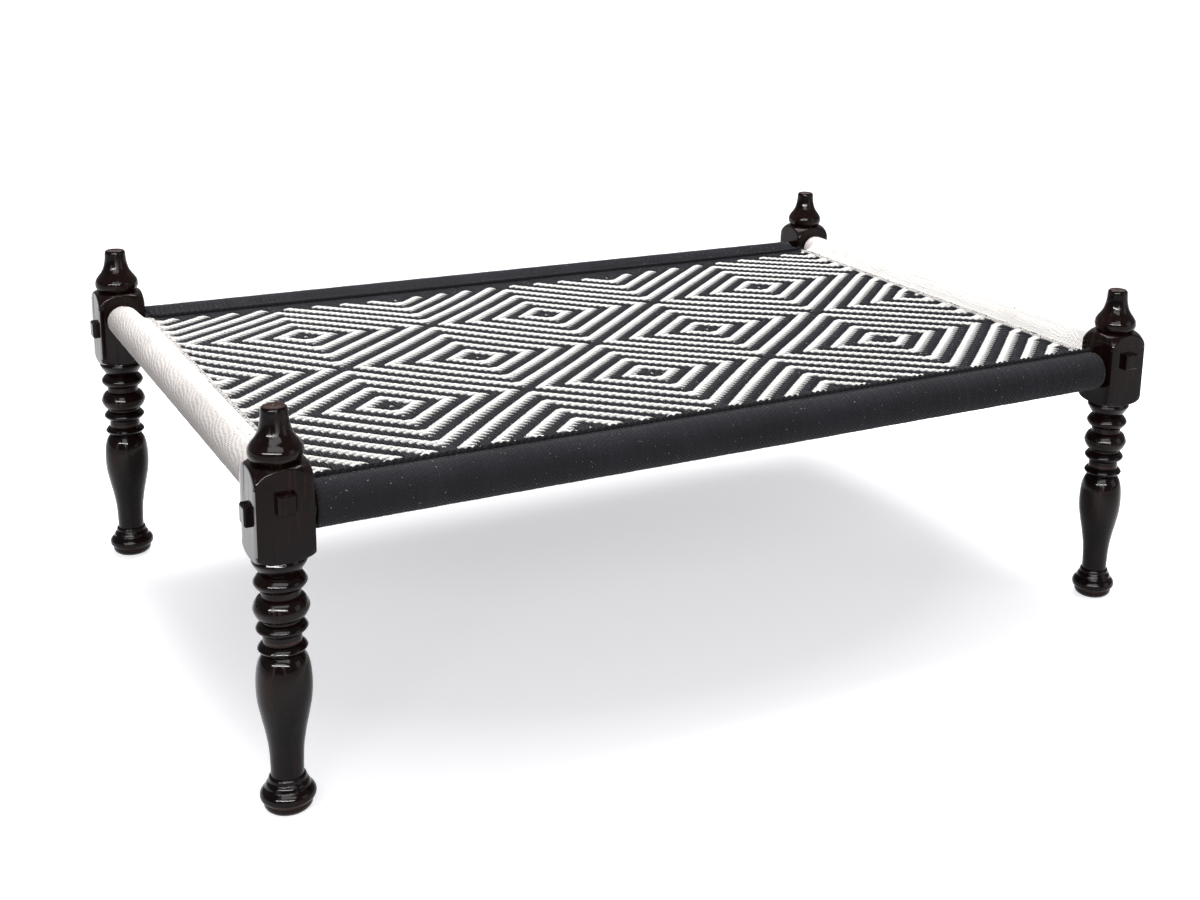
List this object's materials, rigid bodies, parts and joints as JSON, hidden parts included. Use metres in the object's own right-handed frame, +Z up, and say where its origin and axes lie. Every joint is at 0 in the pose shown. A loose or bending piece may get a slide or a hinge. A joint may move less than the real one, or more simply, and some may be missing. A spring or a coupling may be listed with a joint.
{
  "type": "charpai",
  "caption": "Low rope-strung bed or bench: turned legs, tenoned rails wound with black and white cord, and a woven diamond-twill sheet.",
  "frame": {"origin": "on the floor, midway between the four legs", "axes": "+X along the long rails, +Y along the short rails from front to back, +Z up"},
  "size_m": [1.255, 0.869, 0.457],
  "materials": {
    "lacquered_wood": "dark espresso lacquer, glossy, worn brown at the edges",
    "black_cord": "matte black cotton cord",
    "white_cord": "matte off-white cotton cord",
    "woven_cord": "black and off-white cotton cord in a diamond twill"
  },
  "bodies": {
    "root": {"leg_front_left": "lacquered_wood", "leg_front_right": "lacquered_wood", "leg_back_left": "lacquered_wood", "leg_back_right": "lacquered_wood", "rail_front": "lacquered_wood", "rail_back": "lacquered_wood", "rail_left": "lacquered_wood", "rail_right": "lacquered_wood", "wrap_front": "black_cord", "wrap_back": "black_cord", "wrap_left": "white_cord", "wrap_right": "white_cord", "edge_cord_front": "black_cord", "edge_cord_back": "black_cord", "edge_cord_left": "white_cord", "edge_cord_right": "white_cord", "woven_web": "woven_cord"}
  },
  "joints": []
}
